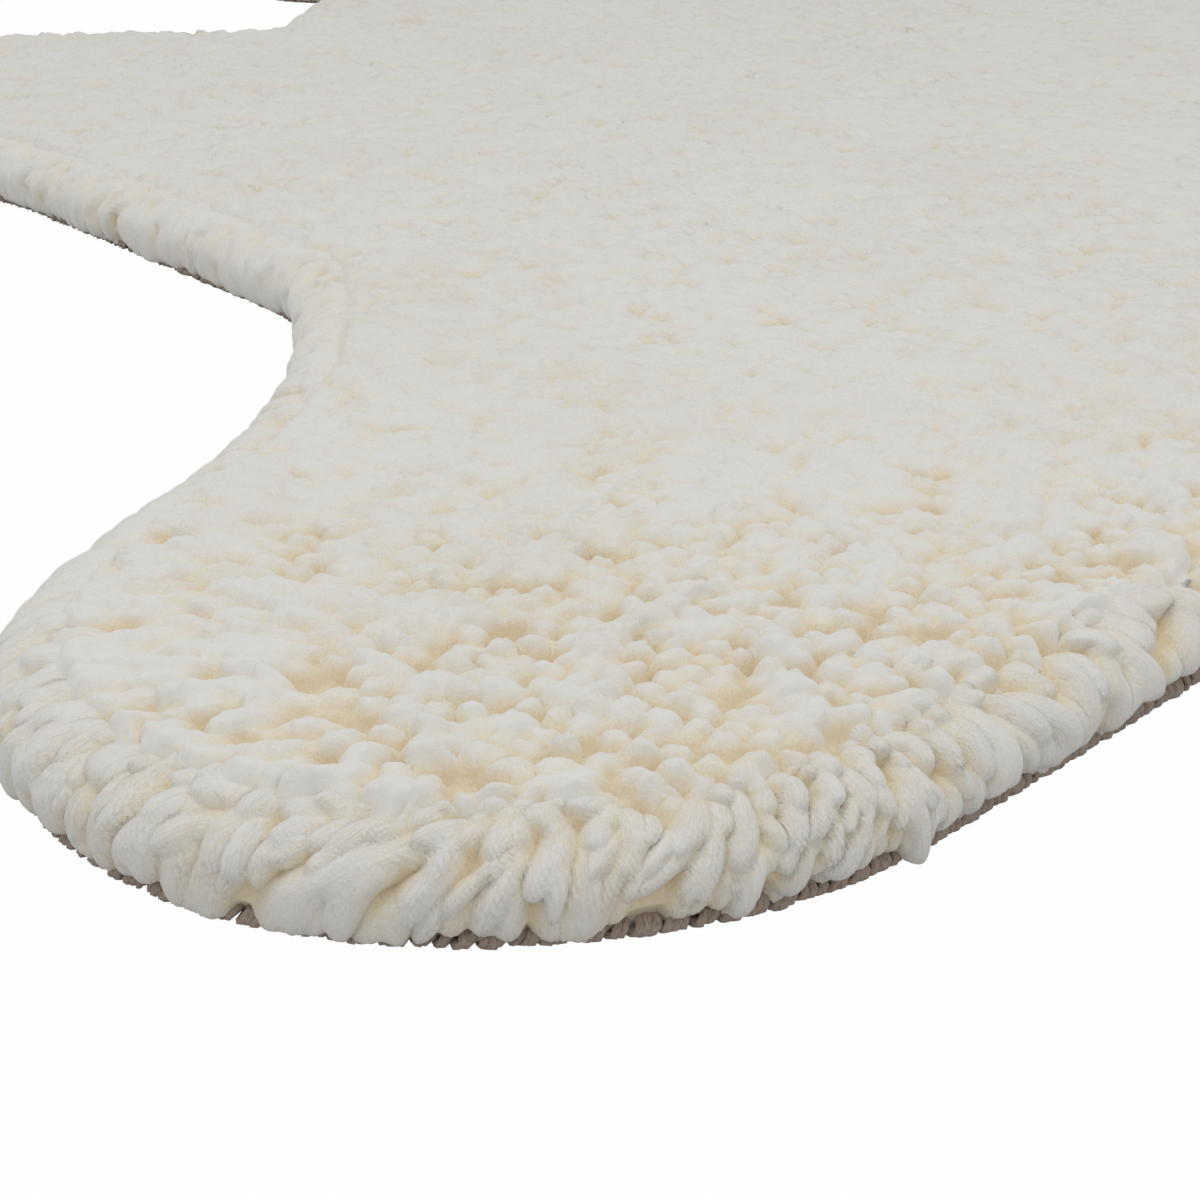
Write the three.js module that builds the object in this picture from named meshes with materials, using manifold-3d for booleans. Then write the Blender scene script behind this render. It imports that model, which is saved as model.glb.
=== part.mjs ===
// A rug cut to the flat outline of a bearskin: a woven ground cloth, a thick wool pile
// standing on it, and an edge whipped over with yarn. Millimetres, +Z up, nose towards +Y.
// The origin lies on the floor under the middle of the rug.
import * as THREE from "three";
import { mergeVertices } from "three/addons/utils/BufferGeometryUtils.js";
import Module from "manifold-3d";

// Half of the edge line, from the tail round to the nose. Each row is a corner of the
// outline with the radius that rounds it; the other half is its mirror image.
const corners = [
  { name: "tail tip", x: 40, y: -810, radius: 38 },
  { name: "tail root", x: 45, y: -738, radius: 20 },
  { name: "hind paw, inner side", x: 257, y: -879, radius: 147 },
  { name: "hind paw, outer side", x: 556, y: -879, radius: 140 },
  { name: "flank", x: 321, y: -478, radius: 500 },
  { name: "foreleg pit", x: 314, y: -319, radius: 120 },
  { name: "back of the foreleg", x: 440, y: -38, radius: 150 },
  { name: "fore paw, back", x: 676, y: 180, radius: 98 },
  { name: "fore paw, front", x: 622, y: 344, radius: 98 },
  { name: "foreleg, front", x: 470, y: 308, radius: 200 },
  { name: "shoulder", x: 250, y: 312, radius: 50 },
  { name: "neck", x: 138, y: 588, radius: 50 },
  { name: "ear, back", x: 216, y: 634, radius: 42 },
  { name: "ear, front", x: 224, y: 714, radius: 42 },
  { name: "brow", x: 158, y: 732, radius: 30 },
  { name: "snout", x: 86, y: 879, radius: 78 },
];
const arcSag = 1; // how far a chord may fall short of its arc
const weld = 1e-3; // vertices closer than this are one

const clothThickness = 3;
const edgeWidth = 9;
const edgeHeight = 6;
const edgeRoll = 2; // rounding of its section
const edgeLift = 0.4; // the whipped edge curls just clear of the floor
const seam = 0.3; // clearance between touching pieces

// The pile: its mean height above the floor, and the section of its rounded rim.
const pileHeight = 36;
const rimOverhang = 8; // tufts lean out past the edge by this
const rimRound = 26; // how far in from the rim the top is rounded
const rimBulge = 17; // height at which the rim reaches furthest out
const rimFlat = 1; // how much of the rim stands upright there
const rimRise = 20; // from there to the top of the rounding
const rimSteps = 3;

// Unevenness of the pile's top: long swells, then single dips where it has been trodden.
const swells = [
  { length: 330, heading: 0.4, height: 1.1, phase: 0.6 },
  { length: 235, heading: 2.0, height: 0.9, phase: 2.1 },
  { length: 175, heading: 1.1, height: 0.8, phase: 4.0 },
];
const dips = [
  { name: "rump", x: -65, y: -605, radius: 45, depth: 4 },
  { name: "loin", x: -75, y: -480, radius: 60, depth: 4 },
  { name: "thigh", x: 190, y: -580, radius: 70, depth: 3 },
  { name: "back", x: 60, y: -140, radius: 90, depth: 3 },
  { name: "withers", x: -90, y: 210, radius: 80, depth: 3 },
];
const topCell = 33; // spacing of the points that carry the top's unevenness

const colours = { pile: 0xe6dfd0, cloth: 0x95877a, edge: 0x8d7f72 };

const wasm = await Module();
wasm.setup();

// The closed edge line at a distance outside (or, negative, inside) the rug's own edge.
function edgeLine(outside) {
  const mirrored = corners.map(({ x, y, radius }) => ({ x: -x, y, radius })).reverse();
  const loop = [...corners, ...mirrored];
  const points = [];
  loop.forEach((corner, i) => {
    const at = new THREE.Vector2(corner.x, corner.y);
    const before = loop[(i + loop.length - 1) % loop.length];
    const after = loop[(i + 1) % loop.length];
    const arriving = at.clone().sub(before).normalize();
    const leaving = new THREE.Vector2(after.x, after.y).sub(at).normalize();
    const turn = Math.atan2(arriving.cross(leaving), arriving.dot(leaving));
    const side = Math.sign(turn); // +1 on a bulge, -1 in a bay
    const toCentre = new THREE.Vector2(-arriving.y, arriving.x).multiplyScalar(side);
    const tangent = corner.radius * Math.tan(Math.abs(turn) / 2);
    const centre = at.clone().addScaledVector(arriving, -tangent);
    centre.addScaledVector(toCentre, corner.radius);
    const step = 2 * Math.acos(1 - arcSag / corner.radius);
    const steps = Math.max(2, Math.ceil(Math.abs(turn) / step));
    const start = Math.atan2(-toCentre.y, -toCentre.x);
    const radius = corner.radius + side * outside;
    for (let k = 0; k <= steps; k += 1) {
      const angle = start + (turn * k) / steps;
      points.push(
        new THREE.Vector2(Math.cos(angle), Math.sin(angle)).multiplyScalar(radius).add(centre),
      );
    }
  });
  return points;
}

// Height of the pile's top above or below its mean at a place on the rug.
function unevenness(x, y) {
  const waves = swells.map(({ length, heading, height, phase }) => {
    const along = x * Math.cos(heading) + y * Math.sin(heading);
    return height * Math.sin((2 * Math.PI * along) / length + phase);
  });
  const hollows = dips.map((dip) => {
    const away = Math.hypot(x - dip.x, y - dip.y) / dip.radius;
    return -dip.depth * Math.exp(-away * away);
  });
  return [...waves, ...hollows].reduce((sum, part) => sum + part, 0);
}

function solidOf(geometry) {
  geometry.deleteAttribute("normal");
  geometry.deleteAttribute("uv");
  const merged = mergeVertices(geometry, weld);
  return new wasm.Manifold(
    new wasm.Mesh({
      numProp: 3,
      vertProperties: new Float32Array(merged.attributes.position.array),
      triVerts: new Uint32Array(merged.index.array),
    }),
  );
}

function geometryOf(solid) {
  const mesh = solid.getMesh();
  const geometry = new THREE.BufferGeometry();
  geometry.setAttribute("position", new THREE.BufferAttribute(mesh.vertProperties, 3));
  geometry.setIndex(new THREE.BufferAttribute(mesh.triVerts, 1));
  return geometry;
}

function namedMesh(name, geometry, color, roughness) {
  const material = new THREE.MeshStandardMaterial({ color, roughness, metalness: 0 });
  const mesh = new THREE.Mesh(geometry, material);
  mesh.name = name;
  return mesh;
}

// The woven ground cloth, cut to the outline inside the whipped edge.
function groundCloth() {
  const shape = new THREE.Shape(edgeLine(-edgeWidth - seam));
  return new THREE.ExtrudeGeometry(shape, { depth: clothThickness, bevelEnabled: false });
}

// The whipped edge: one soft roll that runs right round the cloth.
function whippedEdge() {
  const shape = new THREE.Shape(edgeLine(-edgeRoll));
  shape.holes.push(new THREE.Path(edgeLine(edgeRoll - edgeWidth)));
  const geometry = new THREE.ExtrudeGeometry(shape, {
    depth: edgeHeight - 2 * edgeRoll,
    bevelThickness: edgeRoll,
    bevelSize: edgeRoll,
    bevelSegments: 1,
  });
  return geometry.translate(0, 0, edgeLift + edgeRoll);
}

// The pile: a rounded slab that overhangs the edge, uneven on top and flat underneath,
// where it sits on the cloth and clears the whipped edge.
function pile() {
  const rounded = new THREE.ExtrudeGeometry(new THREE.Shape(edgeLine(rimOverhang - rimRound)), {
    depth: rimFlat,
    bevelThickness: rimRise,
    bevelSize: rimRound,
    bevelSegments: rimSteps,
  }).translate(0, 0, rimBulge);
  const reach = 2 * (Math.max(...corners.map(({ y }) => Math.abs(y))) + rimRound);
  const cells = Math.round(reach / topCell);
  const uneven = new THREE.BoxGeometry(reach, reach, pileHeight, cells, cells, 1);
  const place = uneven.attributes.position;
  for (let i = 0; i < place.count; i += 1) {
    if (place.getZ(i) > 0) {
      place.setZ(i, pileHeight + unevenness(place.getX(i), place.getY(i)));
    }
  }
  const below = new THREE.BoxGeometry(reach, reach, pileHeight);
  below.translate(0, 0, clothThickness + seam - pileHeight / 2);
  const around = new THREE.Shape(edgeLine(rimRound));
  around.holes.push(new THREE.Path(edgeLine(-edgeWidth - seam)));
  const overEdge = new THREE.ExtrudeGeometry(around, {
    depth: edgeLift + edgeHeight + seam,
    bevelEnabled: false,
  });
  const solid = solidOf(rounded)
    .intersect(solidOf(uneven))
    .subtract(solidOf(below))
    .subtract(solidOf(overEdge));
  return geometryOf(solid);
}

const group = new THREE.Group();
group.add(namedMesh("backing", groundCloth(), colours.cloth, 0.95));
group.add(namedMesh("edge_binding", whippedEdge(), colours.edge, 0.95));
group.add(namedMesh("pile", pile(), colours.pile, 0.9));

export default group;
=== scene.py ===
import math

import bpy
import numpy as np
from mathutils import Euler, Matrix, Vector
from mathutils.bvhtree import BVHTree
from mathutils.geometry import delaunay_2d_cdt


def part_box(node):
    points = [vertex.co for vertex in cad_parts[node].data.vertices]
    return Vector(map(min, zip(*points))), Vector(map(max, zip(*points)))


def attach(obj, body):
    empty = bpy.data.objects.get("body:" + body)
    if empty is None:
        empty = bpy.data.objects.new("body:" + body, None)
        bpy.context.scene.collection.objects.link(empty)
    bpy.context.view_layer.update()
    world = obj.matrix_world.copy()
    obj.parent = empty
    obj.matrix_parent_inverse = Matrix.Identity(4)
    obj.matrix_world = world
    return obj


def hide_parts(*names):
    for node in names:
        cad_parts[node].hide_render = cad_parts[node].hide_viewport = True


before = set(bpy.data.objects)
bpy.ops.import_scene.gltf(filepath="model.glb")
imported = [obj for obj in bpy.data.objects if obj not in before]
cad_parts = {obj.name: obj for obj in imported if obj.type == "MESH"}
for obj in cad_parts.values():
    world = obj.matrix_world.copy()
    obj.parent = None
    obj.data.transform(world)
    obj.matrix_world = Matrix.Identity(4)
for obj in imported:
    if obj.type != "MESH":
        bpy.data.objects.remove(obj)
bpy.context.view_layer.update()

camera = {
    "place": (-0.4363, -1.3711, 0.304),
    "tilt": math.radians(67.38),
    "turn": math.radians(-14),
    "lens": 72,
    "sensor": 36,
}

seeds = {"puffs": 58, "clumps": 11, "locks": 23, "yarn": 77}
edgeStep = 0.002             # from one point of the edge line to the next
pileBottom = 0.0036          # flat underside of the wool, just over the cloth

# The yarn ends in the middle of the rug: soft puffs that merge, upright or lying over
puff = {
    "pitch": 0.0106,         # from one to the next
    "scatter": 0.0012,       # how far a root sits off its even place
    "margin": 0.004,         # least distance of a root from the edge line
    "half": 0.0062,          # half its width
    "spread": 0.16,          # and how much that varies
    "longer": 0.55,          # how much longer than wide a puff is when it lies over
    "front": 0.75,           # reach of its front and back, against that half length
    "behind": 1.15,
    "dome": 0.0060,          # height from its edge to its top
    "calm": 0.36,            # and how much of that is left over the back of the rug
    "full": 2.5,             # power of its profile: 2 is round, more is flatter on top
    "soft": 0.0010,          # rounding of the creases between the puffs
    "tilt": 0.13,            # rise towards the front of a puff that lies over
    "combedTilt": 0.10,      # and some more where the pile is combed flat
    "thinned": 0.18,         # share of the puffs left out there, so that long locks show
    "overhang": 0.0024,      # how far its top slides over the crease before it
    "crease": 0.0080,        # deepest crease under the tops
    "lean": 0.0018,          # sideways reach of a tip, at random
    "drift": 0.0034,         # and of all tips in one patch together
    "turn": 0.28,            # and how far its heading turns from that, in radians
    "clump": 0.09,           # how far tips are drawn to the middle of their clump
    "clumpPitch": 0.036,
    "uneven": 0.0009,        # tips above and below the pile's top
    "rimPull": 0.0085,       # how far tips beside the rim lean out, from where that fades, and how fast
    "rimStart": 0.021,
    "rimFade": 0.024,
    "inset": 0.0135,         # of the surface's own edge, under the locks of the rim
    "sink": 0.0080,          # how low it is there, and over what width it comes up
    "sinkWidth": 0.0085,
    "paintedShadeDepth": 0.0042,     # depth at which a crease has its warmest, darkest painted shade
    "bent": 0.0008,          # how far the outlines of the puffs wander
    "lumps": 0.00030,        # small lumps all over
    "fineCell": 0.0010,      # mesh cells near the camera and far from it
    "coarseCell": 0.0040,
    "fineX": (-0.50, -0.06), # where they are fine, and over what distance they grow
    "fineY": (-0.90, -0.64),
    "growX": 0.40,
    "growY": 0.45,
    "seam": 0.009,           # width beside a border of two pieces in which nothing overhangs
}

# The locks that droop over the edge
rim = {
    # Section of the pile there, under the locks: how far out it bulges and how high, and its rounding above
    "out": 0.0052,
    "bulge": 0.0170,
    "round": 0.0235,
    "rise": 0.0180,
    "tuck": 0.0062,          # how far it draws in again below, and the height of its lower edge
    "foot": 0.0078,
    "inner": 0.0270,         # where it starts, under the puffs, and how much lower it is there
    "dive": 0.0065,
    # Rows of locks down that section: distance from its inner end, half length and half width, and the
    # strength of the strands in them
    "rows": [
        {"down": 0.006, "long": 0.0066, "wide": 0.0054, "strands": 0.2},
        {"down": 0.014, "long": 0.0076, "wide": 0.0050, "strands": 0.4},
        {"down": 0.022, "long": 0.0092, "wide": 0.0044, "strands": 0.7},
        {"down": 0.031, "long": 0.0108, "wide": 0.0039, "strands": 1.0},
        {"down": 0.040, "long": 0.0112, "wide": 0.0036, "strands": 1.0},
        {"down": 0.049, "long": 0.0104, "wide": 0.0034, "strands": 1.0},
    ],
    "pitch": 1.9,            # from one lock to the next, against its half width
    "front": 0.8,            # reach of its front and back, against its half length
    "behind": 1.2,
    "dome": 0.0068,          # height of a lock of the first row from its edge to its top
    "full": 2.4,             # power of its profile
    "soft": 0.0009,          # rounding of the creases
    "crease": 0.0075,        # deepest crease
    "tilt": 0.15,            # rise towards a lock's front
    "turn": 0.20,            # how far its heading turns at random, in radians
    "calm": 0.36,            # how much of the relief is left round the back of the rug
    "even": 0.55,            # and how much it fades at the lower edge
    "overhang": 0.0032,      # how far a lock's top slides over the crease before it
    "uneven": 0.0014,        # tops above and below the rest
    "strand": 0.0015,        # width of a strand in a lock, and its height
    "ridge": 0.0006,
    "paintedShadeDepth": 0.0062,     # depth at which a crease has its warmest, darkest painted shade
    "top": 0.0455,           # nothing is higher or lower than these
    "bottom": 0.0030,
    # Where the lower edge hangs further down over the yarn: middle, size and drop
    "falls": [
        {"x": -0.44, "y": -0.86, "size": 0.11, "drop": 0.0050},   # hind paw, outer side
        {"x": -0.50, "y": -0.25, "size": 0.34, "drop": 0.0046},   # flank and foreleg
        {"x": -0.36, "y": -0.91, "size": 0.05, "drop": 0.0030},   # hind paw, toes
        {"x": -0.362, "y": -0.927, "size": 0.008, "drop": 0.0070},   # loose end at the toes
        {"x": -0.170, "y": -0.847, "size": 0.005, "drop": 0.0035},   # loose end, inner side, middle
        {"x": -0.150, "y": -0.832, "size": 0.006, "drop": 0.0045},   # loose end, inner side, high
    ],
    # Where the locks are large and long, like shells: middle, size and strength
    "shells": [{"x": -0.140, "y": -0.805, "size": 0.075, "reach": 0.9}],   # hind paw, inner side
    # Mesh cells along the edge and rows down the section, by distance from the camera
    "meshes": [
        {"name": "near", "upTo": 0.92, "cell": 0.0008, "rows": 56},
        {"name": "middle", "upTo": 1.50, "cell": 0.0017, "rows": 30},
        {"name": "far", "upTo": 99, "cell": 0.0034, "rows": 17},
    ],
}

# Patches where the pile is combed flat, as long locks: middle, size, heading and strength
combed = [
    {"x": -0.475, "y": -0.80, "size": 0.115, "heading": 200, "reach": 0.018},   # hind paw, outer side
    {"x": -0.42, "y": -0.665, "size": 0.07, "heading": 170, "reach": 0.010},   # hind leg, outer side
]

# Dips in which the tufts part: middle and size
partings = [
    {"x": -0.065, "y": -0.605, "size": 0.045, "reach": 0.007},   # rump
    {"x": -0.075, "y": -0.480, "size": 0.060, "reach": 0.007},   # loin
    {"x": 0.190, "y": -0.580, "size": 0.070, "reach": 0.006},   # thigh
    {"x": 0.060, "y": -0.140, "size": 0.090, "reach": 0.006},   # back
    {"x": -0.090, "y": 0.210, "size": 0.080, "reach": 0.006},   # withers
]

# The pile is made in pieces, which meet along these lines: where each starts and ends in x and in y
zoneLines = {"x": 0.0, "y": [-0.70, -0.42, 0.0, 0.36]}
zones = {
    "hind_paw_left": (-9, 0, -9, -0.70),
    "hind_left": (-9, 0, -0.70, -0.42),
    "hind_right": (0, 9, -9, -0.42),
    "back_left": (-9, 0, -0.42, 0),
    "back_right": (0, 9, -0.42, 0),
    "fore_left": (-9, 0, 0, 0.36),
    "fore_right": (0, 9, 0, 0.36),
    "head": (-9, 9, 0.36, 9),
}

wool = {
    # Painted shade: colours from the bottom of a crease to the top of a tuft, darker and warm tan down in
    # the creases where less light falls, pale at the top
    "paintedShades": [(0.0, (0.83, 0.725, 0.53)), (0.35, (0.865, 0.80, 0.67)), (0.75, (0.86, 0.84, 0.785)),
               (1.0, (0.85, 0.842, 0.812))],
    # Tints from tuft to tuft
    "tints": [(0.0, (0.95, 0.915, 0.85)), (0.5, (0.985, 0.975, 0.955)), (1.0, (1.0, 1.0, 0.995))],
    "flecks": 0.9,           # strength of the fine fibres in the colour, and of streaks along the locks
    "streaks": 0.9,
    "roughness": 0.95,
    "sheen": 0.6,
    "fuzz": 0.15,            # strength of the fine relief all over
    "strands": 0.38,         # and of the fibres along the locks, on the rim and on the puffs
    "puffStrands": 0.0228,
    "strandsFrom": -0.60,    # between these places towards the nose the fibres of the locks fade out
    "strandsFull": -0.80,
}

yarn = {
    "pitch": 0.0027,         # from one turn over the edge to the next
    "radius": 0.00155,
    "middle": 0.0034,        # height of a turn's middle
    "halfWidth": 0.0058,     # of a turn, in from the edge line
    "halfHeight": 0.0021,
    "flatBelow": 0.62,       # how much of that it has on the underside
    "wrap": math.radians(118),
    "slant": 0.0016,
    "finer": 1.2,            # nearer to the camera than this, turns have finer meshes
    "roughness": 0.95,
    "sheen": 0.25,
    "colour": (0.46, 0.375, 0.31),
    "dark": (0.22, 0.165, 0.13),
}

cloth = {
    "thread": 0.0024,        # width of one thread of the weave
    "inset": 0.0093,         # of its cut edge from the edge line
    "roughness": 0.95,
    "colour": (0.36, 0.30, 0.25),
    "dark": (0.20, 0.16, 0.13),
}

studio = {
    "skyLow": 0.55,          # brightness of the tent round its foot and overhead
    "skyHigh": 0.74,
    "lamp": 4.5,
    "lampPlace": (-0.35, -0.80, 1.7),
    "lampSize": 1.4,
    "floorTone": 0.65,
    "floorGlow": 0.985,      # how white the camera sees the floor, shadow and all
    "floorReach": 30,
    "floorLevel": -0.0003,
}


def smooth(share):
    share = np.clip(share, 0, 1)
    return share * share * (3 - 2 * share)


def unit(vectors):
    return vectors / np.maximum(np.linalg.norm(vectors, axis=-1), 1e-9)[..., None]


def softened(values, passes):
    for _ in range(passes):
        values = (np.roll(values, 1, axis=0) + 2 * values + np.roll(values, -1, axis=0)) / 4
    return values


def waves(points, length, seed, count=7):
    # A smooth uneven field between about -1 and 1, with swells of about this length
    picker = np.random.default_rng(seed)
    total = np.zeros(len(points))
    for _ in range(count):
        heading = picker.uniform(0, 2 * math.pi)
        rate = 2 * math.pi / (length * picker.uniform(0.7, 1.6))
        total += np.sin(rate * (points @ np.array([math.cos(heading), math.sin(heading)]))
                        + picker.uniform(0, 2 * math.pi))
    return total / math.sqrt(count / 2) / 1.4


def toneOf(spots, picker):
    # Tone from tuft to tuft, between 0 and 1
    tone = 0.5 + 0.16 * picker.normal(size=len(spots)) + 0.12 * waves(spots, 0.2, seed=31)
    return np.clip(tone, 0.03, 0.97)


def farFrom(spots, patch, spread=1):
    # Distance from the middle of a patch, against its size
    return np.linalg.norm(spots - (patch["x"], patch["y"]), axis=1) / (spread * patch["size"])


def nearestOf(points, targets):
    # Which of the targets is nearest to each point
    found = []
    for part in np.array_split(points, max(1, len(points) // 1000)):
        offset = part[:, None, :] - targets[None, :, :]
        found.append(np.einsum("ijk,ijk->ij", offset, offset).argmin(axis=1))
    return np.concatenate(found)


def window(xs, ys, x, y, reach):
    # The part of a grid within reach of a place
    i0, i1 = np.searchsorted(xs, (x - reach, x + reach))
    j0, j1 = np.searchsorted(ys, (y - reach, y + reach))
    return np.s_[j0:j1, i0:i1]


def lobe(kind, base, ahead, beside, long, wide, tilt, dome):
    # Height of one puff or lock round its middle, with a longer back than front
    front = np.where(ahead > 0, kind["front"], kind["behind"])
    far = (ahead / (long * front)) ** 2 + (beside / wide) ** 2
    return base + tilt * np.minimum(ahead, long) - dome * far ** (kind["full"] / 2)


def placed(name, data):
    made = bpy.data.objects.new(name, data)
    bpy.context.scene.collection.objects.link(made)
    return made


def plainObject(name, points, faces, material, rounded=True):
    mesh = bpy.data.meshes.new(name)
    mesh.from_pydata([tuple(p) for p in points], [], [tuple(int(i) for i in f) for f in faces])
    mesh.validate()
    mesh.materials.append(material)
    if rounded:
        mesh.shade_smooth()
    return placed(name, mesh)


def vertexMap(made, name, values, apart=0):
    # A UV map from one value a vertex, with every other corner a little apart so that no face is flat on it
    loops = np.empty(len(made.data.loops), dtype=np.int32)
    made.data.loops.foreach_get("vertex_index", loops)
    places = values[loops] + np.arange(len(loops))[:, None] % 2 * np.array([apart, 0])
    made.data.uv_layers.new(name=name).data.foreach_set("uv", places.astype(np.float32).ravel())


def finishWool(made, shade, strands, normals):
    # The shade map of a wool piece, which carries its tone and its painted shade, its strand map in
    # millimetres, and the normals that it is shaded by, where a zero leaves a corner as it is
    vertexMap(made, "OFBake", shade, 0.004)
    vertexMap(made, "Strand", strands * 1000)
    made.data.normals_split_custom_set_from_vertices(normals.tolist())
    return made


def toneAndPaintedShade(surface):
    # Places on the shade map: tone across, and painted shade up, from the bottom of a crease, darkest and
    # warmest, to an open top
    return np.stack([np.clip(surface["tone"], 0.02, 0.98), 0.02 + 0.96 * surface["open"]], axis=-1)


def gridNormals(points):
    # Normals of a whole grid of points, so that pieces cut from it are shaded alike where they meet
    return unit(np.cross(np.gradient(points, axis=1), np.gradient(points, axis=0)))


def closedLoop(node):
    # The foot of a flat piece's side walls, as one ordered ring of points
    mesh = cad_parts[node].data
    floorLevel = min(v.co.z for v in mesh.vertices)
    following = {}
    for face in mesh.polygons:
        if abs(face.normal.z) > 0.5:
            continue
        corners = [mesh.vertices[i].co for i in face.vertices]
        for a, b in zip(corners, corners[1:] + corners[:1]):
            if max(a.z, b.z) < floorLevel + 1e-4 and (a - b).length > 1e-5:
                following[(round(a.x, 5), round(a.y, 5))] = (round(b.x, 5), round(b.y, 5))
    start = next(iter(following))
    ring, here = [start], following[start]
    while here != start:
        ring.append(here)
        here = following[here]
    return np.array(ring)


def evenRing(points, step):
    # The same ring with points at an even spacing
    closed = np.vstack([points, points[:1]])
    along = np.concatenate([[0], np.cumsum(np.linalg.norm(np.diff(closed, axis=0), axis=1))])
    count = int(round(along[-1] / step))
    places = np.arange(count) * along[-1] / count
    return np.column_stack([np.interp(places, along, closed[:, k]) for k in (0, 1)])


def ringNormals(ring):
    # Outward, for a ring that runs anticlockwise
    along = unit(np.roll(ring, -1, axis=0) - np.roll(ring, 1, axis=0))
    return np.column_stack([along[:, 1], -along[:, 0]])


def edgeLine():
    # The outer edge of the yarn as an even ring, and the area of the cloth
    ring = evenRing(closedLoop("backing"), edgeStep)
    area = np.sum(ring[:, 0] * np.roll(ring[:, 1], -1) - np.roll(ring[:, 0], -1) * ring[:, 1]) / 2
    if area < 0:
        ring = ring[::-1]
    ring = softened(ring, 12)
    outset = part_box("edge_binding")[1].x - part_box("backing")[1].x
    return evenRing(ring + outset * softened(ringNormals(ring), 6), edgeStep), abs(area)


edge, clothArea = edgeLine()
edgeOut = softened(ringNormals(edge), 4)
edgeLength = len(edge) * edgeStep
print("edge line", round(edgeLength, 2), "m")


def edgeDistance(points):
    # How far inside the edge line each point is, and which point of the line is nearest
    nearest = nearestOf(points, edge)
    offset = points - edge[nearest]
    side = np.einsum("ij,ij->i", offset, edgeOut[nearest])
    return -np.sign(side) * np.sqrt(np.einsum("ij,ij->i", offset, offset)), nearest


def onEdge(values, along):
    # Values of the edge line's points at distances along it
    spot = along / edgeStep
    first = np.floor(spot).astype(int)
    share = (spot - first)[..., None]
    return values[first % len(values)] * (1 - share) + values[(first + 1) % len(values)] * share


pileTree = BVHTree.FromObject(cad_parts["pile"], bpy.context.evaluated_depsgraph_get())


def topHeight(points):
    # Height of the pile over each point, or nan beside it
    heights = np.full(len(points), np.nan)
    for i, (x, y) in enumerate(points):
        hit = pileTree.ray_cast(Vector((x, y, 1)), Vector((0, 0, -1)))[0]
        if hit is not None:
            heights[i] = hit.z
    return heights


# How uneven the pile's top is just inside the rim
rimTops = topHeight(edge - edgeOut * 0.030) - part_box("pile")[1].z
rimTops = softened(np.nan_to_num(rimTops), 10) + (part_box("pile")[1].z - 0.0375)
viewTurn = Euler((camera["tilt"], 0, camera["turn"]), "XYZ").to_matrix()


def viewDistance(points):
    # Distance from the camera, and far away for what lies outside its view
    offset = points - camera["place"]
    local = offset @ np.array(viewTurn)
    ahead = np.maximum(-local[:, 2], 1e-3)
    half = camera["sensor"] / camera["lens"] / 2 * 1.12
    seen = (np.abs(local[:, 0] / ahead) < half) & (np.abs(local[:, 1] / ahead) < half) & (local[:, 2] < 0)
    return np.where(seen, np.linalg.norm(offset, axis=1), 9.0)


def hexPlaces(pitch, scatter, picker):
    low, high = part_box("pile")
    rows = np.arange(low.y, high.y, pitch * math.sqrt(3) / 2)
    columns = np.arange(low.x, high.x, pitch)
    x, y = np.meshgrid(columns, rows)
    x = x + (np.arange(len(rows)) % 2)[:, None] * pitch / 2
    points = np.column_stack([x.ravel(), y.ravel()])
    return points + picker.normal(0, scatter, points.shape)


def puffLean(roots, inside, nearest, picker):
    # How far and which way the tips reach from their roots, and how flat the pile is combed there
    lean = picker.normal(0, puff["lean"], roots.shape)
    lean += puff["drift"] * np.column_stack([waves(roots, 0.11, seed=3), waves(roots, 0.13, seed=4)])
    clumps = hexPlaces(puff["clumpPitch"], puff["clumpPitch"] * 0.22, np.random.default_rng(seeds["clumps"]))
    lean += puff["clump"] * (clumps[nearestOf(roots, clumps)] - roots)
    rimPull = puff["rimPull"] * np.exp(-np.maximum(inside - puff["rimStart"], 0) / puff["rimFade"])
    lean += rimPull[:, None] * edgeOut[nearest]
    for part in partings:
        away = (roots - (part["x"], part["y"])) / part["size"]
        lean += part["reach"] * away * np.exp(-farFrom(roots, part) ** 2)[:, None] * 1.6
    flat = np.zeros(len(roots))
    for patch in combed:
        share = np.exp(-farFrom(roots, patch) ** 2)
        heading = math.radians(patch["heading"])
        lean *= (1 - 0.6 * share)[:, None]
        lean += patch["reach"] * share[:, None] * np.array([math.cos(heading), math.sin(heading)])
        flat = np.maximum(flat, share * patch["reach"] / combed[0]["reach"])
    return lean, flat


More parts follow.
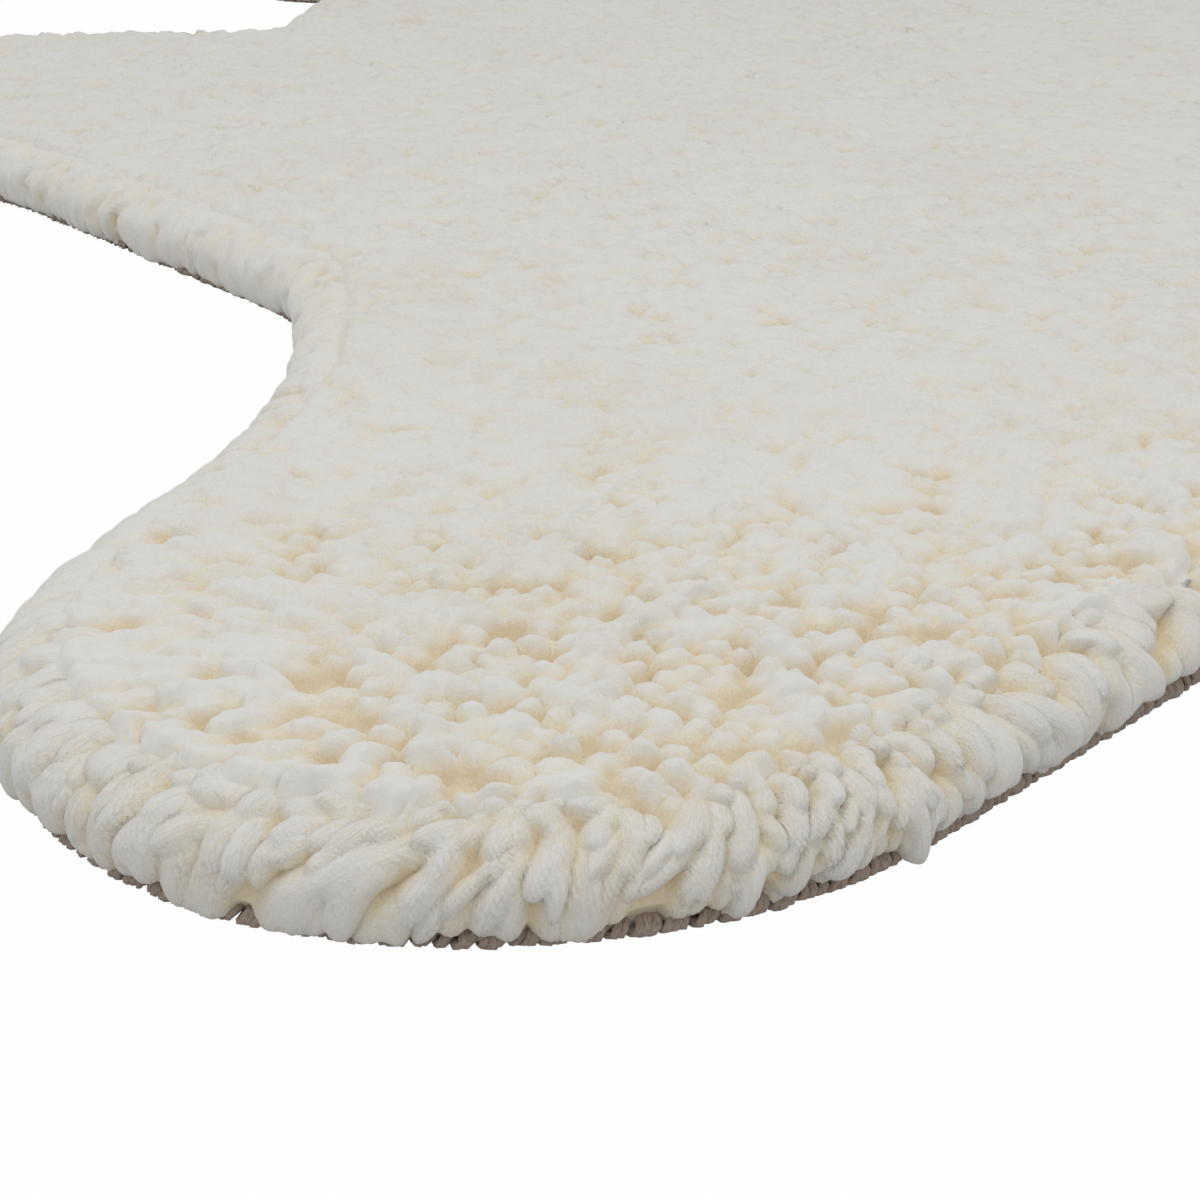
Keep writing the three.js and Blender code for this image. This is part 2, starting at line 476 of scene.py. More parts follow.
def fieldPuffs():
    # Where the puffs stand, which way they lie and how large they are
    picker = np.random.default_rng(seeds["puffs"])
    roots = hexPlaces(puff["pitch"], puff["scatter"], picker)
    inside, nearest = edgeDistance(roots)
    keep = inside > puff["margin"]
    roots, inside, nearest = roots[keep], inside[keep], nearest[keep]
    count = len(roots)
    lean, flat = puffLean(roots, inside, nearest, picker)
    reach = np.linalg.norm(lean, axis=1)
    bend = np.maximum(smooth((reach - 0.002) / 0.010), flat)   # 0 stands up, 1 lies over
    heading = np.arctan2(lean[:, 1], lean[:, 0]) + picker.normal(0, puff["turn"], count) * (1 - 0.4 * flat)
    half = puff["half"] * np.clip(picker.normal(1, puff["spread"], count), 0.72, 1.35)
    calm = 1 - (1 - puff["calm"]) * smooth((roots[:, 1] + 0.86) / 0.30)
    keep = picker.uniform(0, 1, count) > puff["thinned"] * flat
    made = {
        "x": roots[:, 0] + 0.5 * lean[:, 0],
        "y": roots[:, 1] + 0.5 * lean[:, 1],
        "heading": heading,
        "wide": half * (1 - 0.12 * bend - 0.06 * flat),
        "long": half * (1 + puff["longer"] * bend + 0.4 * flat),
        "bend": bend,
        "tilt": puff["tilt"] * bend + puff["combedTilt"] * flat,
        "dome": puff["dome"] * calm * (1 - 0.2 * bend),
        "up": calm * (picker.normal(0, puff["uneven"], count) + 0.0010 * waves(roots, 0.05, seed=8)
                      + 0.0016 * picker.uniform(-1, 1, count) * flat),
        "tone": toneOf(roots, picker),
    }
    return {key: values[keep] for key, values in made.items()}


def gradedLines(low, high, fine, grow):
    # Grid lines from low to high, close together over one stretch and wider away from it
    lines = [low]
    while lines[-1] < high:
        away = float(smooth(max(fine[0] - lines[-1], lines[-1] - fine[1], 0) / grow))
        lines.append(lines[-1] + puff["fineCell"] + (puff["coarseCell"] - puff["fineCell"]) * away)
    return np.array(lines)


def coarseField(values, xs, ys, x, y):
    # Values of an even coarse grid at other places
    i = np.clip((x - xs[0]) / (xs[1] - xs[0]), 0, len(xs) - 1.001)
    j = np.clip((y - ys[0]) / (ys[1] - ys[0]), 0, len(ys) - 1.001)
    i0, j0 = i.astype(int), j.astype(int)
    i, j = i - i0, j - j0
    return ((values[j0, i0] * (1 - i) + values[j0, i0 + 1] * i) * (1 - j)
            + (values[j0 + 1, i0] * (1 - i) + values[j0 + 1, i0 + 1] * i) * j)


def pileGround(x, y):
    # How far inside the edge line each grid point is, and the height of the pile there
    low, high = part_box("pile")
    step = 0.006
    xs = np.arange(low.x - step, high.x + 2 * step, step)
    ys = np.arange(low.y - step, high.y + 2 * step, step)
    spots = np.stack(np.meshgrid(xs, ys), axis=-1).reshape(-1, 2)
    inside = edgeDistance(spots)[0].reshape(len(ys), len(xs))
    tall = topHeight(spots).reshape(inside.shape)
    tall = coarseField(np.where(np.isnan(tall), low.z, tall), xs, ys, x, y)
    inside = coarseField(inside, xs, ys, x, y)
    return inside, tall - puff["sink"] * (1 - smooth((inside - puff["inset"]) / puff["sinkWidth"]))


def mergedPuffs(xs, ys, x, y, tall):
    # The softened top of all the puffs, with their mean lean, tone and own coordinates at each grid point
    flat = np.column_stack([x.ravel(), y.ravel()])
    bentX = x + puff["bent"] * waves(flat, 0.010, 61, 11).reshape(x.shape)
    bentY = y + puff["bent"] * waves(flat, 0.010, 62, 11).reshape(x.shape)
    sharp, level = 1 / puff["soft"], 0.03
    total = np.exp(sharp * (tall - puff["crease"] - level))
    lean, strands = np.zeros((2, *total.shape, 2))
    tone = 0.5 * total
    for px, py, heading, wide, long, bend, tilt, dome, up, shade in zip(*fieldPuffs().values()):
        near = window(xs, ys, px, py, long * 1.5)
        dx, dy = bentX[near] - px, bentY[near] - py
        c, s = math.cos(heading), math.sin(heading)
        along, beside = dx * c + dy * s, dy * c - dx * s
        height = lobe(puff, tall[near] + up, along, beside, long, wide, tilt, dome)
        share = np.exp(sharp * (height - level))
        total[near] += share
        lean[near] += share[..., None] * np.array([c, s]) * bend
        tone[near] += share * shade
        strands[near] += share[..., None] * np.stack([beside, along + 0.02 * shade], axis=-1)
    z = level + np.log(total) / sharp + puff["lumps"] * waves(flat, 0.0040, 63, 11).reshape(x.shape)
    return z, lean / total[..., None], tone / total, strands / total[..., None]


def puffSurface():
    # The pile on a grid: the merged puffs, slid a little over the creases before them
    low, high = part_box("pile")
    xs = gradedLines(low.x, high.x, puff["fineX"], puff["growX"])
    ys = gradedLines(low.y, high.y, puff["fineY"], puff["growY"])
    x, y = np.meshgrid(xs, ys)
    inside, tall = pileGround(x, y)
    z, lean, tone, strands = mergedPuffs(xs, ys, x, y, tall)
    rise = np.clip(1 + (z - tall) / 0.006, 0, 1.2) ** 1.5 * puff["overhang"]
    for line in zoneLines["y"]:
        rise = rise * smooth(np.abs(y - line) / puff["seam"])
    rise = rise * smooth(np.abs(x - zoneLines["x"]) / puff["seam"])
    points = np.stack([x + lean[..., 0] * rise, y + lean[..., 1] * rise, z], axis=-1)
    # open: how far each point is from the bottom of a crease, which sets its painted shade, darker and
    # warmer deeper down
    return {"xs": xs, "ys": ys, "points": points, "inside": inside, "tone": tone, "strands": strands,
            "open": np.clip(1.06 - (tall - z) / puff["paintedShadeDepth"], 0, 1), "normals": gridNormals(points)}


def closedBelow(points, quads, level):
    # Walls down from the open edge of a surface to a flat bottom
    ends = np.concatenate([quads[:, [k, (k + 1) % 4]] for k in range(4)])
    size = len(points) + 1
    keys, back = ends[:, 0] * size + ends[:, 1], ends[:, 1] * size + ends[:, 0]
    border = ends[~np.isin(keys, back)]
    following = {int(a): int(b) for a, b in border}
    points, faces = list(map(tuple, points)), []
    while following:
        start = next(iter(following))
        ring, here = [start], following.pop(start)
        while here != start:
            ring.append(here)
            here = following.pop(here)
        base, count = len(points), len(ring)
        points += [(points[i][0], points[i][1], level) for i in ring]
        faces += [(ring[(k + 1) % count], ring[k], base + k, base + (k + 1) % count) for k in range(count)]
        flat = [Vector(points[base + k][:2]) for k in range(count)]
        cells, came = delaunay_2d_cdt(flat, [], [list(range(count))], 1, 1e-7)[2:4]
        spot = {i: base + old[0] for i, old in enumerate(came) if old}
        faces += [tuple(spot[i] for i in reversed(cell)) for cell in cells if all(i in spot for i in cell)]
    return points, faces


def zoneCells(surface, zone):
    # The grid cells of one zone, without two that only touch at a corner
    x, y = [(lines[:-1] + lines[1:]) / 2 for lines in (surface["xs"], surface["ys"])]
    within = surface["inside"] > puff["inset"]
    cell = within[:-1, :-1] & within[1:, :-1] & within[:-1, 1:] & within[1:, 1:]
    cell &= (x >= zone[0]) & (x < zone[1]) & ((y >= zone[2]) & (y < zone[3]))[:, None]
    for _ in range(6):
        a, b, c, d = cell[:-1, :-1], cell[:-1, 1:], cell[1:, :-1], cell[1:, 1:]
        lone = (a & d & ~b & ~c) | (b & c & ~a & ~d)
        cell[:-1, :-1] &= ~lone
        cell[1:, :-1] &= ~lone
    return np.nonzero(cell)


def pilePiece(name, surface, zone, material):
    # The part of the surface in one zone, as a closed body
    j, i = zoneCells(surface, zone)
    wide = len(surface["xs"])
    quads = np.column_stack([j * wide + i, j * wide + i + 1, (j + 1) * wide + i + 1, (j + 1) * wide + i])
    used, quads = np.unique(quads, return_inverse=True)
    quads = quads.reshape(-1, 4)
    points, walls = closedBelow(surface["points"].reshape(-1, 3)[used], quads, pileBottom)
    made = plainObject(name, points, [tuple(q) for q in quads.tolist()] + walls, material)

    def onPiece(values):
        # Values of the surface's points, and zeros for those of the walls
        values = values.reshape(-1, values.shape[-1])[used]
        return np.concatenate([values, np.zeros((len(points) - len(used), values.shape[-1]))])

    return finishWool(made, onPiece(toneAndPaintedShade(surface)), onPiece(surface["strands"]),
                      onPiece(surface["normals"]))


def rimSection():
    # The section of the rim from its inner end, over the shoulder and down: places, and lengths to them
    over = np.linspace(math.pi / 2, 0, 40)
    under = np.linspace(0, math.pi / 2, 16)[1:]
    inset = np.concatenate([[rim["inner"]],
                            rim["round"] - rim["out"] - rim["round"] * np.cos(over),
                            -rim["out"] + rim["tuck"] * (1 - np.cos(under)),
                            [rim["tuck"] - rim["out"] + 0.0006]])
    top = rim["bulge"] + rim["rise"]
    high = np.concatenate([[top - rim["dive"]],
                           rim["bulge"] + rim["rise"] * np.sin(over),
                           rim["bulge"] - (rim["bulge"] - rim["foot"]) * np.sin(under),
                           [rim["foot"] - 0.005]])
    start = 1 - smooth((rim["inner"] - inset) / 0.012)
    high -= rim["dive"] * 0.6 * start * (high > top - rim["dive"] * 0.5)
    points = np.column_stack([-inset, high])
    return points, np.concatenate([[0], np.cumsum(np.linalg.norm(np.diff(points, axis=0), axis=1))])


def onSection(section, down):
    # Place and outward heading at a distance down the section
    points, lengths = section

    def placeAt(distance):
        return np.stack([np.interp(distance, lengths, points[:, k]) for k in (0, 1)], axis=-1)

    ahead = unit(placeAt(down + 0.002) - placeAt(down - 0.002))
    return placeAt(down), np.stack([-ahead[..., 1], ahead[..., 0]], axis=-1)


def shellShare(spots):
    # How much the locks are large shells at each place
    share = np.zeros(len(spots))
    for part in rim["shells"]:
        share = np.maximum(share, part["reach"] * np.exp(-farFrom(spots, part) ** 4))
    return share


def combedTurn(spots, out):
    # How far the locks turn from straight down at each place of the rim, and how flat they are combed there
    sideways, down, flat = np.zeros(len(spots)), np.ones(len(spots)), np.zeros(len(spots))
    for patch in combed:
        near = np.exp(-farFrom(spots, patch, 1.4) ** 2)
        flat = np.maximum(flat, near)
        share = 2.5 * near
        turn = math.radians(patch["heading"])
        heading = np.array([math.cos(turn), math.sin(turn)])
        sideways += share * (out[:, 0] * heading[1] - out[:, 1] * heading[0])
        down += share * np.maximum(out @ heading, 0)
    return np.arctan2(sideways, down), flat


def lockRow(number, row, picker):
    # One row of locks along the whole rim
    count = int(edgeLength / (rim["pitch"] * row["wide"]))
    along = (np.arange(count) + 0.5 * (number % 2) + picker.uniform(-0.32, 0.32, count)) * edgeLength / count
    spots = onEdge(edge, along)
    shell = shellShare(spots)
    turn, flat = combedTurn(spots, onEdge(edgeOut, along))
    size = np.clip(picker.normal(1, 0.18, count), 0.65, 1.45)
    back = smooth((spots[:, 1] + 0.83) / 0.22)     # fewer, longer and lower locks round the back
    calm = 1 - (1 - rim["calm"]) * back
    made = {
        "along": along,
        "down": row["down"] + picker.normal(0, 0.0018, count),
        "turn": turn + picker.normal(0, rim["turn"], count) + 0.25 * waves(spots, 0.06, seed=21),
        "long": (row["long"] * size * np.clip(picker.normal(1, 0.14, count), 0.7, 1.4)
                 * (1 + 0.5 * shell) * (1 + 0.35 * flat) * (1 + 0.25 * back)),
        "wide": row["wide"] * size * (1 + 0.75 * shell) * (1 + 0.3 * flat),
        "dome": (rim["dome"] * calm * (1 - 0.25 * flat)
                 * (row["wide"] / rim["rows"][0]["wide"] * (1 + 0.5 * shell)) ** 0.5),
        "up": calm * picker.normal(0, rim["uneven"], count) * (1 - 0.4 * flat) + 0.0010 * shell,
        "strands": (1 - 0.5 * shell) * row["strands"] * np.clip(picker.normal(1, 0.3, count), 0.3, 1.6),
        "phase": picker.uniform(0, 6.3, count),
        "tone": toneOf(spots, picker),
    }
    left = np.maximum(np.maximum(0.50 * shell, 0.22 * flat), 0.20 * back)
    keep = picker.uniform(0, 1, count) > left
    return {key: values[keep] for key, values in made.items()}


def rimLocks():
    # Every lock of the rim, and the same ones again past both ends of the ring
    picker = np.random.default_rng(seeds["locks"])
    rows = [lockRow(number, row, picker) for number, row in enumerate(rim["rows"])]
    locks = {key: np.tile(np.concatenate([row[key] for row in rows]), 3) for key in rows[0]}
    locks["along"] += np.repeat([0, -1, 1], len(locks["along"]) // 3) * edgeLength
    return locks


def mergedLocks(along, down, locks):
    # The softened top of all the locks over a stretch of the section, with their mean heading, tone and
    # own coordinates at each grid point
    sharp = 1 / rim["soft"]
    lines, downs = along[0], down[:, 0]
    total = np.full(along.shape, np.exp(sharp * -rim["crease"]))
    slide, strandMap = np.zeros((2, *total.shape, 2))
    tone = 0.5 * total
    close = (locks["along"] > lines[0] - 0.03) & (locks["along"] < lines[-1] + 0.03)
    rows = zip(*(values[close] for values in locks.values()))
    for la, ld, turn, long, wide, dome, up, strands, phase, shade in rows:
        near = window(lines, downs, la, ld, long * 1.5)
        da, dd = along[near] - la, down[near] - ld
        c, s = math.cos(turn), math.sin(turn)
        ahead, beside = dd * c + da * s, da * c - dd * s
        wave = beside / rim["strand"] + 0.35 * np.sin(ahead / 0.004 + phase)
        ridge = rim["ridge"] * strands * (np.abs(np.sin(math.pi * wave + phase)) ** 0.7 - 0.65)
        height = lobe(rim, up, ahead, beside, long, wide, rim["tilt"], dome) + ridge
        share = np.exp(sharp * height)
        total[near] += share
        slide[near] += share[..., None] * np.array([s, c])
        tone[near] += share * shade
        strandMap[near] += share[..., None] * np.stack([beside, ahead + 0.003 * phase], axis=-1)
    return np.log(total) / sharp, slide / total[..., None], tone / total, strandMap / total[..., None]


def edgeDrop(spots):
    # How far the lower edge of the rim hangs down at each place
    drop = 0.0016 * waves(spots, 0.05, seed=51) + 0.0012 * waves(spots, 0.017, seed=52)
    for fall in rim["falls"]:
        drop += fall["drop"] * np.exp(-farFrom(spots, fall) ** 2)
    return drop


def rimSurface(lines, rows, locks, section):
    # A stretch of the rim: the merged locks laid round its section, slid a little over the creases
    length = section[1][-1] - 0.0045
    along, down = np.meshgrid(lines, np.linspace(0, length, rows))
    height, lean, tone, strands = mergedLocks(along, down, locks)
    # How far each point is from the bottom of a crease, which sets its painted shade, darker and warmer
    # deeper down
    clearOfPaintedShade = np.clip(1.02 - (0.0008 - height) / rim["paintedShadeDepth"], 0, 1)
    height = height * (1 - rim["even"] * smooth((down - length + 0.014) / 0.012))
    slide = np.clip(1 + height / 0.006, 0, 1.3) ** 1.5 * rim["overhang"] * np.clip(down / 0.012, 0, 1)
    place, outward = onSection(section, down + lean[..., 1] * slide)
    along = along + lean[..., 0] * slide
    spots, out = onEdge(edge, along), unit(onEdge(edgeOut, along))
    local = onEdge(rimTops[:, None], along)[..., 0]
    local *= np.clip((place[..., 1] - rim["bulge"]) / rim["rise"], 0, 1)
    reach = place[..., 0] + outward[..., 0] * height
    high = place[..., 1] + local + outward[..., 1] * height
    high -= edgeDrop(spots.reshape(-1, 2)).reshape(high.shape) * smooth((rim["bulge"] - high) / 0.010)
    high = np.clip(high, rim["bottom"], rim["top"])
    points = np.concatenate([spots + out * reach[..., None], high[..., None]], axis=-1)
    return {"points": points, "tone": tone, "open": clearOfPaintedShade, "strands": strands}


def rimStretches():
    # The rim by distance from the camera: the kind of mesh, and where each stretch of it starts and ends
    away = viewDistance(np.column_stack([edge + edgeOut * 0.005, np.full(len(edge), 0.02)]))
    tier = sum((away >= mesh["upTo"]).astype(int) for mesh in rim["meshes"])
    tier = np.min([np.roll(tier, k) for k in range(-10, 11)], axis=0)
    start = int(np.nonzero(tier != np.roll(tier, 1))[0][0])
    tier = np.roll(tier, -start)
    breaks = [0, *(np.nonzero(np.diff(tier))[0] + 1), len(tier)]
    for first, last in zip(breaks[:-1], breaks[1:]):
        low, high = (start + first) * edgeStep, (start + last) * edgeStep
        parts = max(1, round((high - low) / 1.5))
        for part in range(parts):
            a, b = low + (high - low) * part / parts, low + (high - low) * (part + 1) / parts
            shift = edgeLength if a > edgeLength else 0
            yield rim["meshes"][tier[first]], a - shift, b - shift


def rimBody(name, stretches, material):
    # Closed bodies: the surface, and below it a flat foot and an inner wall
    points, faces, walls, paintedShades, strands, normals = [], [], [], [], [], []
    for surface, lines in stretches:
        rows, columns = surface["tone"].shape
        spots, out = onEdge(edge, lines), onEdge(edgeOut, lines)
        corner = np.column_stack([spots - out * (rim["inner"] - 0.001), np.full(columns, pileBottom)])
        foot = np.column_stack([spots - out * 0.004, np.full(columns, pileBottom)])
        base, count = len(points), rows + 2
        grid = np.concatenate([surface["points"], foot[None], corner[None]])
        points += list(map(tuple, grid.reshape(-1, 3)))
        j, i = np.meshgrid(np.arange(count), np.arange(columns - 1), indexing="ij")
        here, below = base + j * columns + i, base + (j + 1) % count * columns + i
        quads = np.stack([here, below, below + 1, here + 1], axis=-1)
        faces += quads[:rows - 1].reshape(-1, 4).tolist()
        walls += quads[rows - 1:].reshape(-1, 4).tolist()
        walls.append([base + r * columns for r in reversed(range(count))])
        walls.append([base + r * columns + columns - 1 for r in range(count)])
        for kept, values, other in ((paintedShades, toneAndPaintedShade(surface), 0.3), (strands, surface["strands"], 0),
                                    (normals, -gridNormals(surface["points"]), 0)):
            width = values.shape[-1]
            kept.append(np.concatenate([values, np.full((2, columns, width), other)]).reshape(-1, width))
    made = plainObject(name, points, faces + walls, material)
    return finishWool(made, *(np.concatenate(values) for values in (paintedShades, strands, normals)))


def rimPieces(material):
    # The rim as closed bodies, one object for each kind of mesh
    section, locks = rimSection(), rimLocks()
    bodies = {mesh["name"]: [] for mesh in rim["meshes"]}
    for mesh, low, high in rimStretches():
        lines = np.linspace(low, high, max(3, int((high - low) / mesh["cell"])))
        bodies[mesh["name"]].append((rimSurface(lines, mesh["rows"], locks, section), lines))
    return [rimBody(f"rim_{name}", stretches, material) for name, stretches in bodies.items() if stretches]


def added(tree, kind, inputs, **settings):
    # A new node with these settings, its inputs set to values or linked from outputs of other nodes
    node = tree.nodes.new("ShaderNode" + kind)
    for name, value in settings.items():
        setattr(node, name, value)
    for name, value in inputs.items():
        if isinstance(value, bpy.types.NodeSocket):
            tree.links.new(value, node.inputs[name])
        else:
            node.inputs[name].default_value = value
    return node


def calculated(tree, operation, *values):
    return added(tree, "Math", dict(enumerate(values)), operation=operation).outputs[0]


def between(tree, value, low, high, **inputs):
    # A value brought from one range to 0 to 1
    ends = {"Value": value, "From Min": low, "From Max": high}
    return added(tree, "MapRange", {**ends, **inputs}).outputs["Result"]


def noiseOver(tree, source, stretch, inputs):
    # A noise over coordinates, stretched by three factors
    place = added(tree, "Mapping", {"Vector": source, "Scale": stretch}).outputs["Vector"]
    return added(tree, "TexNoise", {"Vector": place, **inputs}).outputs["Fac"]


def mapPlace(tree, name):
    return added(tree, "UVMap", {}, uv_map=name).outputs["UV"]


def place3d(tree, kind):
    return added(tree, "TexCoord", {}).outputs[kind]


def partsOf(tree, vector):
    return added(tree, "SeparateXYZ", {"Vector": vector}).outputs


def ramp(tree, stops, value):
    # Colours along a value
    node = added(tree, "ValToRGB", {"Fac": value})
    for element, (position, colour) in zip(node.color_ramp.elements, (stops[0], stops[-1])):
        element.position, element.color = position, (*colour, 1)
    for position, colour in stops[1:-1]:
        node.color_ramp.elements.new(position).color = (*colour, 1)
    return node.outputs["Color"]


def newMaterial(name, roughness, specular=0.1, sheen=0):
    material = bpy.data.materials.new(name)
    material.use_nodes = True
    shader = material.node_tree.nodes["Principled BSDF"]
    shader.inputs["Roughness"].default_value = roughness
    shader.inputs["Specular IOR Level"].default_value = specular
    shader.inputs["Sheen Weight"].default_value = sheen
    return material, material.node_tree, shader


def dress(tree, shader, colour, relief, distance, strength=1.0):
    # Gives a material its colour and its fine relief
    bump = added(tree, "Bump", {"Strength": strength, "Distance": distance, "Height": relief})
    tree.links.new(colour, shader.inputs["Base Color"])
    tree.links.new(bump.outputs["Normal"], shader.inputs["Normal"])


def woolMaterial(name, strands, streaks):
    material, tree, shader = newMaterial(name, wool["roughness"], sheen=wool["sheen"])
    shade = partsOf(tree, mapPlace(tree, "OFBake"))
    strand, place = mapPlace(tree, "Strand"), place3d(tree, "Object")
    # colour: painted shade from crease to top by the shade map's v, darker and warmer in the creases, a tone
    # from tuft to tuft by its u, and a shift along both by fine fibres, all over and as streaks along the
    # locks
    shift = []
    for source, stretch, strength in ((place, (1300, 1300, 1300), wool["flecks"]),
                                      (strand, (2.0, 0.22, 1), streaks)):
        noise = noiseOver(tree, source, stretch, {"Scale": 1, "Detail": 2.5, "Distortion": 0.6})
        shift.append(calculated(tree, "MULTIPLY_ADD", noise, strength, -0.5 * strength))
    shift = calculated(tree, "ADD", *shift)
    up = ramp(tree, wool["paintedShades"], calculated(tree, "MULTIPLY_ADD", shift, 1, shade["Y"]))
    tint = ramp(tree, wool["tints"], calculated(tree, "MULTIPLY_ADD", shift, 2, shade["X"]))
    mix = added(tree, "Mix", {"Factor": 1, "A": up, "B": tint}, data_type="RGBA", blend_type="MULTIPLY")
    # relief: fibres along the locks over softer strands, which fade in the creases and towards the back of
    # the rug, and a fine fuzz all over
    nearby = between(tree, partsOf(tree, place)["Y"], wool["strandsFrom"], wool["strandsFull"])
    fade = between(tree, shade["Y"], 0.1, 0.6, **{"To Max": nearby})
    relief = None
    for source, stretch, scale, strength in ((strand, (1.9, 0.16, 1), 1.0, strands),
                                             (strand, (0.42, 0.09, 1), 1.0, 1.6 * strands),
                                             (place, (1, 1, 1), 1500, 0.8 * wool["fuzz"]),
                                             (place, (1, 1, 1), 420, 2.2 * wool["fuzz"])):
        level = noiseOver(tree, source, stretch, {"Scale": scale, "Detail": 3.0, "Roughness": 0.6,
                                                  "Distortion": 0.4})
        if source == strand:
            level = calculated(tree, "MULTIPLY", calculated(tree, "SUBTRACT", level, 0.5), fade)
        level = calculated(tree, "MULTIPLY", level, strength)
        relief = calculated(tree, "ADD", relief, level) if relief else level
    dress(tree, shader, mix.outputs["Result"], relief, 0.0010)
    return material


def yarnMaterial():
    material, tree, shader = newMaterial("edge yarn", yarn["roughness"], sheen=yarn["sheen"])
    noise = noiseOver(tree, mapPlace(tree, "Strand"), (2.6, 0.7, 1), {"Scale": 1.0, "Detail": 3.0})
    light = tuple(1.18 * c for c in yarn["colour"])
    colour = ramp(tree, [(0.3, yarn["dark"]), (0.5, yarn["colour"]), (0.8, light)], noise)
    dress(tree, shader, colour, noise, 0.0005, 0.7)
    return material


def clothMaterial():
    # A plain weave: threads along and across, over and under in turn
    material, tree, shader = newMaterial("ground cloth", cloth["roughness"])
    place = place3d(tree, "Object")
    checks = added(tree, "TexChecker", {"Vector": place, "Scale": 1 / cloth["thread"],
                                        "Color1": (0, 0, 0, 1), "Color2": (1, 1, 1, 1)})
    threads = [added(tree, "TexWave", {"Vector": place, "Scale": math.pi / (10 * cloth["thread"]),
                                       "Distortion": 0.25, "Detail Scale": 3}, bands_direction=way)
               for way in ("X", "Y")]
    over = added(tree, "Mix", {"Factor": checks.outputs["Fac"], "A": threads[0].outputs["Fac"],
                               "B": threads[1].outputs["Fac"]}).outputs["Result"]
    light = tuple(1.15 * c for c in cloth["colour"])
    colour = ramp(tree, [(0.0, cloth["dark"]), (0.45, cloth["colour"]), (1.0, light)], over)
    dress(tree, shader, colour, over, 0.0008)
    return material


def yarnTurn(spot, out, radius, steps, sides, number, picker):
    # One turn of yarn round the edge, as rings of points from below to above, and its strand map
    turn = np.linspace(-yarn["wrap"], yarn["wrap"], steps)
    slant = yarn["slant"] * np.sin(turn) + picker.normal(0, 0.0002) + 0.0003 * picker.normal(size=steps)
    wide = yarn["halfWidth"] - radius * 0.5
    inward = -yarn["halfWidth"] + wide * np.cos(turn) + picker.normal(0, 0.0003)
    height = yarn["middle"] + yarn["halfHeight"] * np.sin(turn) * np.where(turn < 0, yarn["flatBelow"], 1)
    along = np.array([-out[1], out[0]])
    points, strands = [], []
    for s in range(steps):
        centre = np.array([*(spot + out * inward[s] + along * slant[s]), height[s]])
        tangent = np.array([-math.sin(turn[s]) * wide, math.cos(turn[s]) * yarn["halfHeight"]])
        tangent /= np.linalg.norm(tangent)
        outward = np.array([*(out * tangent[1]), -tangent[0]])
        for k in range(sides):
            a = 2 * math.pi * k / sides
            swell = radius * (1 + 0.1 * math.sin(3 * a + number))
            points.append(centre + np.array([*along, 0]) * math.cos(a) * swell
                          + outward * math.sin(a) * swell * 0.8)
            strands.append((k / sides * 12, s * 1.8 + number * 7.3))
    return points, strands


def whippedEdge(material):
    # Turns of yarn side by side over the edge of the cloth, a little slanted
    picker = np.random.default_rng(seeds["yarn"])
    count = int(edgeLength / yarn["pitch"])
    places = (np.arange(count) + picker.uniform(-0.28, 0.28, count)) * len(edge) / count
    index = places.astype(int) % len(edge)
    radius = yarn["radius"] * np.clip(picker.normal(1, 0.16, count), 0.7, 1.4)
    near = viewDistance(np.column_stack([edge[index], np.full(count, 0.003)])) < yarn["finer"]
    points, faces, strands = [], [], []
    for i in range(count):
        steps, sides = (8, 6) if near[i] else (4, 4)
        base = len(points)
        made = yarnTurn(edge[index[i]], edgeOut[index[i]], radius[i], steps, sides, i, picker)
        points += made[0]
        strands += made[1]
        for s in range(steps - 1):
            low, high = base + s * sides, base + (s + 1) * sides
            faces += [(high + k, high + (k + 1) % sides, low + (k + 1) % sides, low + k)
                      for k in range(sides)]
        faces.append(tuple(base + k for k in range(sides)))
        faces.append(tuple(base + (steps - 1) * sides + k for k in reversed(range(sides))))
    made = plainObject("whipped_edge", points, faces, material)
    vertexMap(made, "Strand", np.array(strands))
    print("whipped edge", count, "turns")
    return made


def groundCloth():
    # A flat cut of cloth with the rug's outline
    low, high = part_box("backing")
    ring = evenRing(edge - edgeOut * cloth["inset"], 3 * edgeStep)
    count = len(ring)
    points = [(x, y, low.z) for x, y in ring] + [(x, y, high.z) for x, y in ring]
    faces = [tuple(reversed(range(count))), tuple(range(count, 2 * count))]
    faces += [(i, (i + 1) % count, count + (i + 1) % count, count + i) for i in range(count)]
    return plainObject("ground_cloth", points, faces, clothMaterial(), rounded=False)


def pilePieces():
    finish = woolMaterial("wool pile", wool["puffStrands"], 0)
    surface = puffSurface()
    made = [pilePiece(f"pile_{zone}", surface, limits, finish) for zone, limits in zones.items()]
    made += rimPieces(woolMaterial("wool locks", wool["strands"], wool["streaks"]))
    for piece in made:
        print(piece.name, sum(len(face.vertices) - 2 for face in piece.data.polygons), "triangles")
    return made


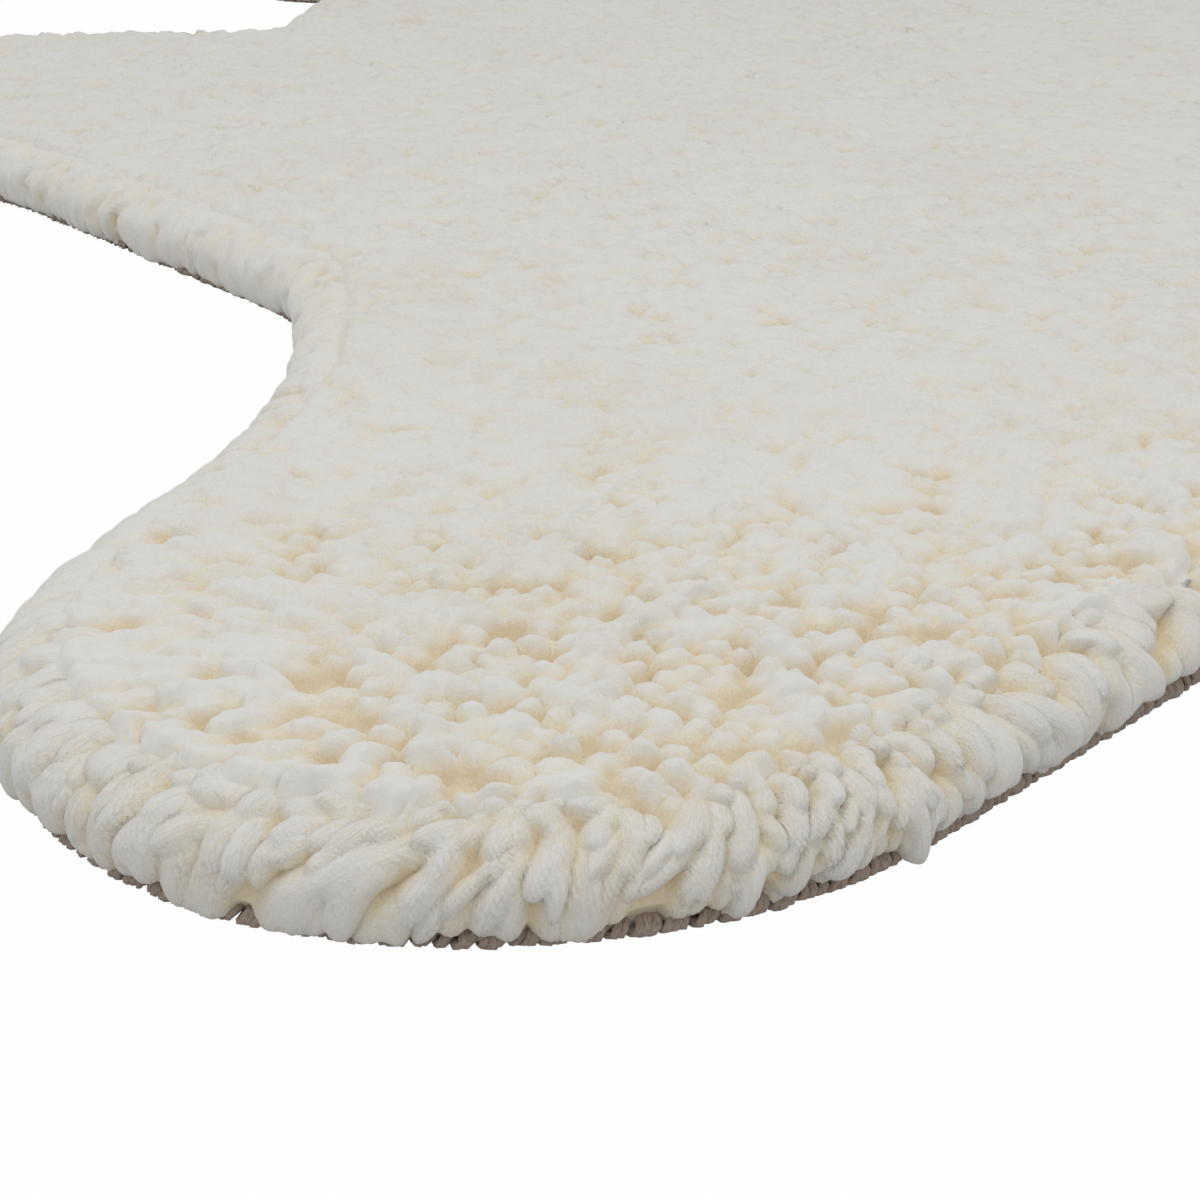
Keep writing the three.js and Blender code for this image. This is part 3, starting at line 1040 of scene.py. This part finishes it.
def whiteBackdrop():
    # Plain light from all round, brighter overhead than round the foot, and white to the camera
    world = bpy.data.worlds.new("studio")
    bpy.context.scene.world = world
    world.use_nodes = True
    tree = world.node_tree
    background = tree.nodes["Background"]
    background.inputs["Color"].default_value = (1, 1, 1, 1)
    path = added(tree, "LightPath", {}).outputs
    direct = calculated(tree, "MAXIMUM", path["Is Camera Ray"], path["Is Glossy Ray"])
    up = partsOf(tree, place3d(tree, "Generated"))["Z"]
    tent = between(tree, up, 0, 1, **{"To Min": studio["skyLow"], "To Max": studio["skyHigh"]})
    tree.links.new(between(tree, direct, 0, 1, **{"To Min": tent}), background.inputs["Strength"])


def softBox():
    lamp = bpy.data.lights.new("soft box", "AREA")
    lamp.shape = "DISK"
    lamp.size = studio["lampSize"]
    lamp.energy = studio["lamp"]
    placed("soft box", lamp).location = studio["lampPlace"]


def floorMaterial():
    material, tree, shader = newMaterial("floor", 1, specular=0)
    tone = studio["floorTone"]
    shader.inputs["Base Color"].default_value = (tone, tone, tone, 1)
    seen = added(tree, "LightPath", {}).outputs["Is Camera Ray"]
    mix = added(tree, "MixShader", {"Fac": calculated(tree, "MULTIPLY", seen, studio["floorGlow"]),
                                    1: shader.outputs["BSDF"], 2: added(tree, "Emission", {}).outputs[0]})
    tree.links.new(mix.outputs["Shader"], tree.nodes["Material Output"].inputs["Surface"])
    return material


def whiteFloor():
    far = studio["floorReach"]
    corners = [(-far, -far, 0), (far, -far, 0), (far, far, 0), (-far, far, 0)]
    floor = plainObject("floor", corners, [(0, 1, 2, 3)], floorMaterial(), rounded=False)
    floor.location.z = studio["floorLevel"]
    return floor


def makeCamera():
    lens = bpy.data.cameras.new("camera")
    lens.lens = camera["lens"]
    lens.sensor_width = camera["sensor"]
    lens.clip_start = 0.02
    eye = placed("camera", lens)
    eye.location = camera["place"]
    eye.rotation_euler = (camera["tilt"], 0, camera["turn"])
    bpy.context.scene.camera = eye


woolPieces = pilePieces()
edgePiece = whippedEdge(yarnMaterial())
clothPiece = groundCloth()

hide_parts("pile")
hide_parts("edge_binding")
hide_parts("backing")
for piece in [*woolPieces, edgePiece, clothPiece]:
    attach(piece, "root")
print("rug built")

bpy.context.scene.view_settings.view_transform = "Standard"
whiteBackdrop()
softBox()
whiteFloor()
makeCamera()
print("studio built")

bpy.context.view_layer.update()
